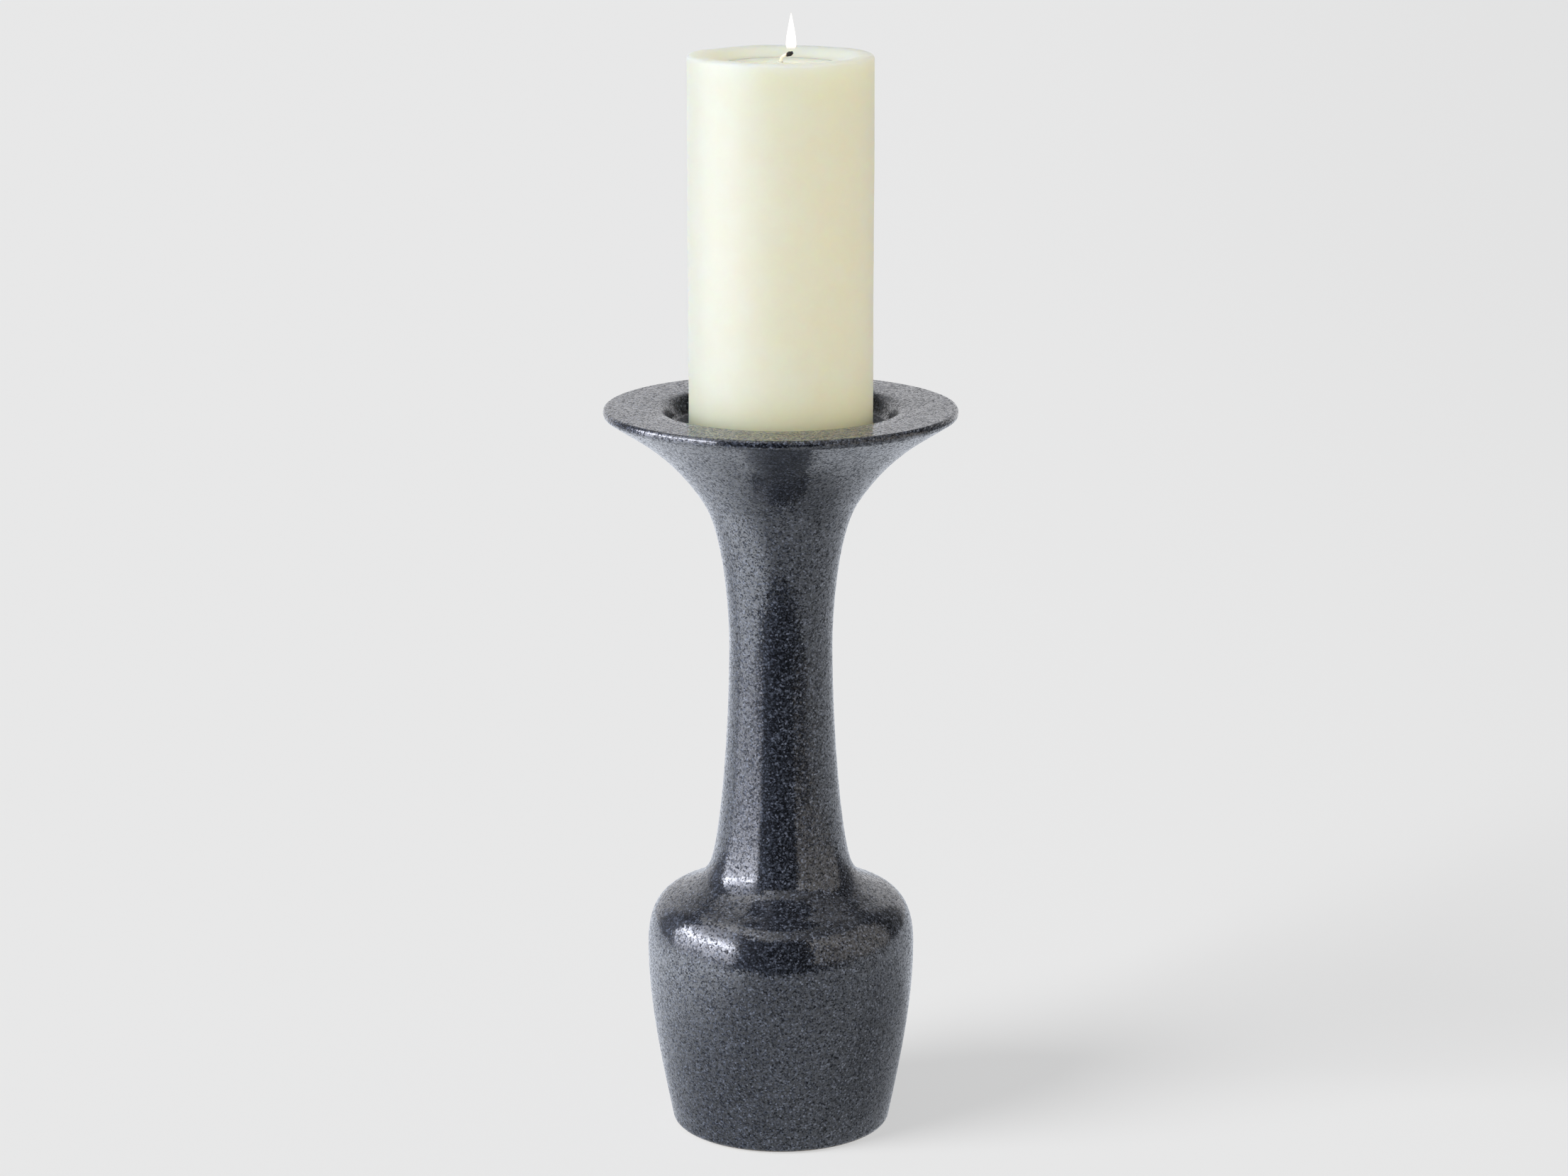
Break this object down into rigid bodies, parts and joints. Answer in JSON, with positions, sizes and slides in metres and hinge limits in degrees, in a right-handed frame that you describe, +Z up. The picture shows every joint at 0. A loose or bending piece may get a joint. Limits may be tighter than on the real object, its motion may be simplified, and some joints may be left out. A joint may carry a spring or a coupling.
{
  "type": "pillar candle holder",
  "caption": "Tall speckled stoneware pillar candle holder with a flared dish, narrow neck and rounded base, carrying a cream pillar candle that lifts off.",
  "frame": {"origin": "on the table under the middle of the foot, in the plane that the felt pads stand on", "axes": "+Z up along the axis of revolution; the charred wick tip leans towards +X; the pictured side faces -Y"},
  "size_m": [0.144, 0.144, 0.4488],
  "materials": {
    "speckled_glaze": "gloss",
    "candle_wax": "satin",
    "wick_cotton": "matte",
    "wick_tab_steel": "satin",
    "felt": "matte"
  },
  "bodies": {
    "holder": {"holder_body": "speckled_glaze", "felt_pad_1": "felt", "felt_pad_2": "felt", "felt_pad_3": "felt", "felt_pad_4": "felt"},
    "candle": {"candle_wax": "candle_wax", "wick": "wick_cotton", "wick_tab": "wick_tab_steel"}
  },
  "joints": [
    {"name": "candle_lift", "type": "slide", "parent": "holder", "child": "candle", "axis": [0, 0, 1], "range_m": [0, 0.1]}
  ]
}
